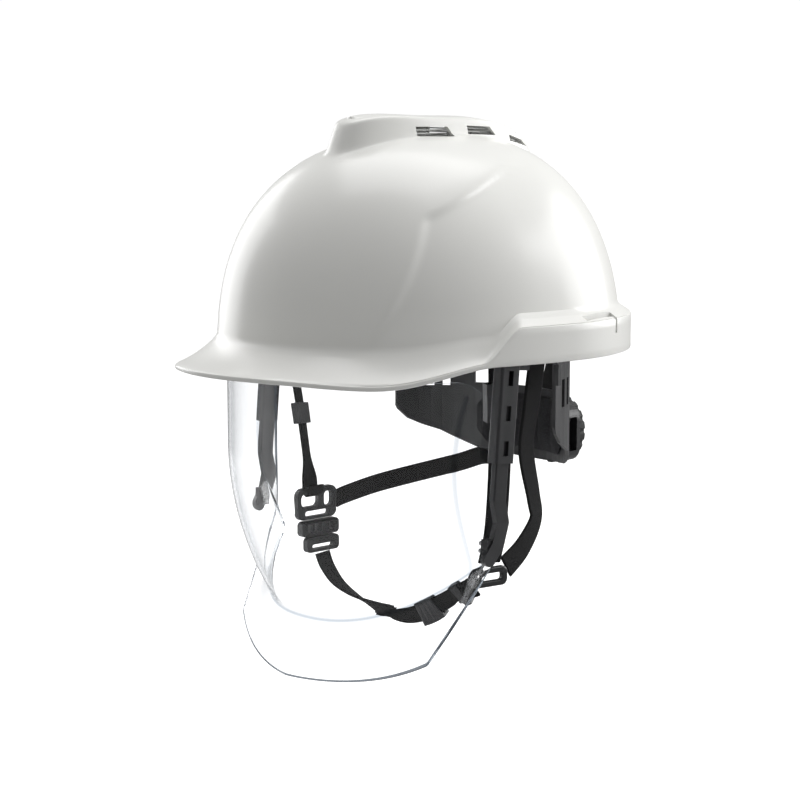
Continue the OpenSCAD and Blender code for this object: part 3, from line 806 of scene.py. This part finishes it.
webbing_black = woven("black_polyester_webbing", (0.004, 0.004, 0.0045), (0.010, 0.010, 0.011), 0.0011, 0.7)
strap("webbing_near_front", [(84, -18, 18), (83, -16, 0), (78, -11, -50), (72, -8, -90), (67, -8, -111)],
      14.0, node="left_front_strap")
strap("webbing_far_front", [(-84, -30, 18), (-82, -31, 0), (-72, -32, -34), (-66, -32, -62), (-64, -31, -80),
                            (-64.1, -30.8, -85), (-61.8, -30.8, -88.3), (-58.6, -30.8, -86.5),
                            (-57.9, -30.8, -82)],
      11.2, node="right_front_strap", lean=-0.38)
strap("webbing_near_rear", [(79, 16, 2), (75, 16, -24), (67, 20, -50), (65, 28, -78), (65, 30, -92),
                            (67, 18, -106), (69, 3, -115)], 14.0, node="left_rear_strap")
strap("webbing_far_rear", [(-63, -11.5, -93), (-64.5, -2, -91.5), (-65, 22, -88), (-59, 46, -84),
                           (-48, 75, -78.5),
                           (-38, 84.2, -74), (-30, 88.8, -73.4)], 11.2, node="right_rear_strap")
strap("webbing_chin", [(-56, -28, -122.4), (-52, -27, -131), (-43, -24, -141), (-24, -19, -149),
                       (0, -16, -151.5), (20, -16, -147), (38, -16, -138), (52, -15, -130), (61, -13, -126)],
      11.2, body="chin_strap", node="chin_webbing", lean=0.75)
strap("webbing_rear_height", [(0, 101, 44), (0, 107.6, 10), (0, 109, -12), (0, 105, -26), (0, 99, -33)],
      12.0, node="rear_height_strap")


# ---- Harness buckles, keepers and adjusters -----------------------------------------------
# Moulded acetal loops that carry, join and shorten the webbing: round-barred frames for the
# junctions, the snap socket and its tongue. The keepers slide on their straps.
def rounded_loop(cx, cz, w, h, r, n=10):
    out = []
    for qx, qz, start in ((1, -1, -90), (1, 1, 0), (-1, 1, 90), (-1, -1, 180)):
        for k in range(n):
            t = math.radians(start + 90.0 * k / (n - 1))
            out.append((cx + qx * (w / 2 - r) + r * math.cos(t), cz + qz * (h / 2 - r) + r * math.sin(t)))
    return out


def moulded_frame(name, place, turn_deg, outline, holes, thick, node, body, bevel=0.7):
    shape = bmesh.new()

    def layer(loop, y):
        return [shape.verts.new((x * MM, y * MM, z * MM)) for x, z in loop]
    loops = [outline] + holes
    for y in (-thick / 2, thick / 2):
        edges = []
        for loop in loops:
            ring = layer(loop, y)
            for a, b in zip(ring, ring[1:] + ring[:1]):
                edges.append(shape.edges.new((a, b)))
        bmesh.ops.triangle_fill(shape, edges=edges, use_beauty=True)
    shape.verts.ensure_lookup_table()
    per_side = sum(len(loop) for loop in loops)
    base = 0
    for loop in loops:
        k = len(loop)
        for i in range(k):
            j = (i + 1) % k
            shape.faces.new((shape.verts[base + i], shape.verts[base + j],
                             shape.verts[per_side + base + j], shape.verts[per_side + base + i]))
        base += k
    bmesh.ops.recalc_face_normals(shape, faces=shape.faces)
    mesh = bpy.data.meshes.new(name)
    shape.to_mesh(mesh)
    shape.free()
    piece = bpy.data.objects.new(name, mesh)
    scene.collection.objects.link(piece)
    piece.location = Vector(place) * MM
    piece.rotation_euler = (0.0, 0.0, math.radians(turn_deg))
    mesh.polygons.foreach_set("use_smooth", [True] * len(mesh.polygons))
    mesh.set_sharp_from_angle(angle=math.radians(35.0))
    soften = piece.modifiers.new("rounded_bars", "BEVEL")
    soften.width = bevel * MM
    soften.segments = 3
    soften.limit_method = "ANGLE"
    soften.angle_limit = math.radians(50.0)
    mesh.materials.append(rubbed_black)
    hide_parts(node)
    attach(piece, body)
    return piece


far_outline = []
for x, z in rounded_loop(0, 0, 31, 19, 5.0, 9):
    pull = 1.0 - 0.08 * math.exp(-((z + 2.5) / 2.5) ** 2)
    far_outline.append((x * pull, z))
moulded_frame("far_junction_loop", (-61, -29, -93), -88, far_outline,
              [rounded_loop(-8.6, 1.9, 6.4, 8.8, 2.4), rounded_loop(5.6, 2.3, 13.4, 8.0, 3.0),
               rounded_loop(0, -6.0, 18.5, 3.4, 1.4)], 3.4, "right_junction_buckle", "helmet", 0.9)
moulded_frame("near_junction_loop", (68, -9, -119), 84, rounded_loop(0, 0, 24, 11, 3.6),
              [rounded_loop(0, 0, 16.5, 4.2, 1.5)], 3.6, "left_junction_buckle", "helmet", 0.9)
moulded_frame("snap_socket", (-59, -28.6, -107.5), -88, rounded_loop(0, 0, 29, 9, 2.6),
              [rounded_loop(x, 0.2, 3.0, 5.2, 0.9) for x in (-8.4, -2.8, 2.8, 8.4)],
              5.0, "buckle_socket", "helmet", 0.6)
moulded_frame("snap_tongue", (-57, -28, -117), -88, rounded_loop(0, 0, 25, 9, 2.6),
              [rounded_loop(0, -1.2, 17, 2.8, 1.1)], 4.0, "buckle_tongue", "chin_strap", 0.8)
for name in ("left_strap_keeper", "right_strap_keeper", "chin_adjuster", "chin_end_clip"):
    finish_node(name, rubbed_black, 0.4)


# ---- Sweatband, nape pad and crown pad ----------------------------------------------------
# Soft foam pads in a black knit cover, sewn down in channels to the ring, the cradle and the
# crossing of the crown straps. Each starts slim and is swollen by a short cloth simulation.
def stuffed(name, rings, held, closed, body, node, fill, cap=0.9):
    rings = np.array(rings, float)
    n, m = rings.shape[:2]
    faces = [(r * m + i, (r + 1) % n * m + i, (r + 1) % n * m + (i + 1) % m, r * m + (i + 1) % m)
             for r in range(n if closed else n - 1) for i in range(m)]
    if not closed:
        for base, flip in ((0, False), ((n - 1) * m, True)):
            for k in range(m // 2 - 1):
                quad = [base + k, base + k + 1, base + m - 2 - k, base + m - 1 - k]
                faces.append(tuple(quad[::-1] if flip else quad))
    pad = mesh_object(name, rings.reshape(-1, 3), faces)
    shape = bmesh.new()
    shape.from_mesh(pad.data)
    bmesh.ops.recalc_face_normals(shape, faces=shape.faces)
    shape.to_mesh(pad.data)
    shape.free()
    grown = 25.0
    start = np.array([v.co[:] for v in pad.data.vertices])
    pad.data.vertices.foreach_set("co", (start * grown).ravel())
    group = pad.vertex_groups.new(name="sewn")
    group.add([int(v) for v in np.flatnonzero(np.array(held).ravel())], 1.0, "REPLACE")
    stuffing = pad.modifiers.new("stuffing", "CLOTH")
    stuffing.settings.quality = 6
    stuffing.settings.mass = 0.3
    stuffing.settings.tension_stiffness = 12.0
    stuffing.settings.compression_stiffness = 12.0
    stuffing.settings.bending_stiffness = 0.4
    stuffing.settings.use_pressure = True
    stuffing.settings.uniform_pressure_force = 4.0 * fill
    stuffing.settings.vertex_group_mass = "sewn"
    stuffing.settings.effector_weights.gravity = 0.0
    stuffing.point_cache.frame_start = 1
    stuffing.point_cache.frame_end = 20
    for moment in range(1, 21):
        scene.frame_set(moment)
    swollen = pad.evaluated_get(bpy.context.evaluated_depsgraph_get()).to_mesh()
    after = np.array([v.co[:] for v in swollen.vertices]) / grown
    move = after - start
    size = np.linalg.norm(move, axis=1)[:, None]
    move *= np.minimum(1.0, cap * MM / np.maximum(size, 1e-9))
    pad.modifiers.remove(stuffing)
    pad.data.vertices.foreach_set("co", (start + move).ravel())
    pad.vertex_groups.clear()
    pad.data.update()
    scene.frame_set(1)
    finer = pad.modifiers.new("finer", "SUBSURF")
    finer.levels = 1
    finer.render_levels = 1
    pad.data.materials.append(knit_black)
    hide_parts(node)
    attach(pad, body)
    return pad


knit, k_in, k_out = new_group(
    "spacer_knit",
    [("Mesh scale", "NodeSocketFloat", 700.0), ("Dark", "NodeSocketColor", (0.01, 0.01, 0.012, 1.0)),
     ("Light", "NodeSocketColor", (0.04, 0.04, 0.045, 1.0))],
    [("Color", "NodeSocketColor"), ("Roughness", "NodeSocketFloat"), ("Height", "NodeSocketFloat")])
knit_at = knit.nodes.new("ShaderNodeTexCoord")
cells = knit.nodes.new("ShaderNodeTexVoronoi")
cells.feature = "DISTANCE_TO_EDGE"
wear_noise = knit.nodes.new("ShaderNodeTexNoise")
wear_noise.inputs["Scale"].default_value = 60.0
wear_noise.inputs["Detail"].default_value = 4.0
hole = knit.nodes.new("ShaderNodeMapRange")
hole.inputs["From Max"].default_value = 0.25
knit_tone = knit.nodes.new("ShaderNodeMix")
knit_tone.data_type = "RGBA"
knit_mask = knit.nodes.new("ShaderNodeMath")
knit_mask.operation = "MULTIPLY"
knit_dry = knit.nodes.new("ShaderNodeMapRange")
knit_dry.inputs["To Min"].default_value = 0.8
knit_dry.inputs["To Max"].default_value = 0.95
wire(knit, (knit_at.outputs["Object"], cells.inputs["Vector"]),
     (k_in.outputs["Mesh scale"], cells.inputs["Scale"]),
     (knit_at.outputs["Object"], wear_noise.inputs["Vector"]),
     (cells.outputs["Distance"], hole.inputs["Value"]),
     (hole.outputs["Result"], knit_mask.inputs[0]), (wear_noise.outputs["Fac"], knit_mask.inputs[1]),
     (knit_mask.outputs[0], knit_tone.inputs[0]), (k_in.outputs["Dark"], knit_tone.inputs[6]),
     (k_in.outputs["Light"], knit_tone.inputs[7]), (wear_noise.outputs["Fac"], knit_dry.inputs["Value"]),
     (knit_tone.outputs[2], k_out.inputs["Color"]), (knit_dry.outputs["Result"], k_out.inputs["Roughness"]),
     (hole.outputs["Result"], k_out.inputs["Height"]))
knit_black = bpy.data.materials.new("black_spacer_knit")
knit_black.use_nodes = True
knit_tree = knit_black.node_tree
knit_shader = knit_tree.nodes["Principled BSDF"]
knit_skin = knit_tree.nodes.new("ShaderNodeGroup")
knit_skin.node_tree = knit
knit_relief = knit_tree.nodes.new("ShaderNodeBump")
knit_relief.inputs["Strength"].default_value = 0.6
knit_relief.inputs["Distance"].default_value = 0.0003
wire(knit_tree, (knit_skin.outputs["Color"], knit_shader.inputs["Base Color"]),
     (knit_skin.outputs["Roughness"], knit_shader.inputs["Roughness"]),
     (knit_skin.outputs["Height"], knit_relief.inputs["Height"]),
     (knit_relief.outputs["Normal"], knit_shader.inputs["Normal"]))


def ring_plan(angle, gap):
    return ((80.0 - gap) * bow(np.cos(angle), plan_n), (97.0 - gap) * bow(np.sin(angle), plan_n))


def wall_pad(name, start, end, z0, z1, gap, thick, channels, body, node, fill):
    rings, held = [], []
    count = 6 * channels + 1
    rows = 9
    for i in range(count):
        angle = math.radians(start + (end - start) * i / (count - 1))
        on_seam = i % 6 == 0
        end_fade = min(1.0, min(i, count - 1 - i) / 3.0)
        depth = thick * (0.42 if on_seam else 0.72) * (0.35 + 0.65 * end_fade)
        taper = (1.0 - end_fade) * 0.28 * (z1 - z0)
        ring, mark = [], []
        for k in range(rows):
            x, y = ring_plan(np.array(angle), gap)
            ring.append((float(x), float(y), z0 + taper + (z1 - z0 - 2 * taper) * k / (rows - 1)))
            mark.append(True)
        for k in range(rows - 1, -1, -1):
            v = -1.0 + 2.0 * k / (rows - 1)
            x, y = ring_plan(np.array(angle), gap + 0.25 + depth * (1.0 - abs(v) ** 4) ** 0.6)
            z = z0 + taper + (z1 - z0 - 2 * taper) * k / (rows - 1)
            ring.append((float(x), float(y), z))
            mark.append(on_seam or abs(v) > 0.99)
        rings.append(ring)
        held.append(mark)
    return stuffed(name, rings, held, False, body, node, fill)


wall_pad("sweatband_pad", 206, 334, 6.5, 39.5, 3.4, 3.0, 10, "helmet", "sweatband", 0.75)
wall_pad("nape_cushion", 61, 119, -65.5, -32.5, 6.7, 4.0, 5, "nape", "nape_pad", 0.8)
rings, held = [], []
for i in range(60):
    turn_now = 2.0 * math.pi * i / 60
    pinch = 0.5 if i % 10 == 0 else 0.85
    ring, mark = [], []
    for k in range(16):
        round_now = 2.0 * math.pi * k / 16
        out = 16.0 + 5.6 * bow(math.cos(round_now), 2.6)
        up = 85.4 + (2.1 * pinch if math.sin(round_now) < 0 else 1.8) * bow(math.sin(round_now), 2.6)
        ring.append((out * math.cos(turn_now), out * math.sin(turn_now), up))
        mark.append(math.sin(round_now) > 0.1 or i % 10 == 0)
    rings.append(ring)
    held.append(mark)
stuffed("crown_cushion", rings, held, True, "helmet", "crown_pad", 0.7, 0.25)


# ---- Crown cradle straps ------------------------------------------------------------------
# Three lengths of 20 mm webbing that arch over the head, cross at the top and end in the
# clips. Each is one flat woven band with rounded selvedges.
for k, label in enumerate(("front_back", "left_diagonal", "right_diagonal")):
    angle = k * math.pi / 3.0
    reach_x = 84.5 * bow(math.cos(angle), plan_n)
    reach_y = 101.5 * bow(math.sin(angle), plan_n)
    reach = math.hypot(reach_x, reach_y) - 0.8
    ux, uy = reach_x / math.hypot(reach_x, reach_y), reach_y / math.hypot(reach_x, reach_y)
    rise = 70.0 + 2.6 * k - 0.8
    path = np.array([(reach * math.cos(t) * ux, reach * math.cos(t) * uy, 24.0 + rise * math.sin(t))
                     for t in np.linspace(0.0, math.pi, 81)])
    wide = np.array([-uy, ux, 0.0])
    tangent = np.gradient(path, axis=0)
    tangent /= np.linalg.norm(tangent, axis=1)[:, None]
    face = np.cross(wide, tangent)
    length = np.concatenate([[0.0], np.cumsum(np.linalg.norm(np.diff(path, axis=0), axis=1))])
    points, strand = [], []
    loop = [(-1.0 + 2.0 * j / 12, 1.0) for j in range(13)] + [(1.0 - 2.0 * j / 12, -1.0) for j in range(13)]
    for i in range(len(path)):
        for u, v in loop:
            thin = 0.8 * (0.35 + 0.65 * math.sqrt(max(0.0, 1.0 - max(0.0, abs(u) - 0.86) ** 2 / 0.0196)))
            points.append(path[i] + wide * u * 10.0 + face[i] * v * thin)
            strand.append((u * 10.0 * MM, length[i] * MM, v * MM))
    m = len(loop)
    faces = [(r * m + i, (r + 1) * m + i, (r + 1) * m + (i + 1) % m, r * m + (i + 1) % m)
             for r in range(len(path) - 1) for i in range(m)]
    for base, flip in ((0, False), ((len(path) - 1) * m, True)):
        for j in range(m // 2 - 1):
            quad = [base + j, base + j + 1, base + m - 2 - j, base + m - 1 - j]
            faces.append(tuple(quad[::-1] if flip else quad))
    arch = mesh_object("crown_strap_" + label, points, faces)
    mark = arch.data.attributes.new("strand", "FLOAT_VECTOR", "POINT")
    mark.data.foreach_set("vector", np.array(strand, float).ravel())
    shape = bmesh.new()
    shape.from_mesh(arch.data)
    bmesh.ops.recalc_face_normals(shape, faces=shape.faces)
    shape.to_mesh(arch.data)
    shape.free()
    arch.data.materials.append(webbing_black)
    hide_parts("crown_webbing")
    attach(arch, "helmet")
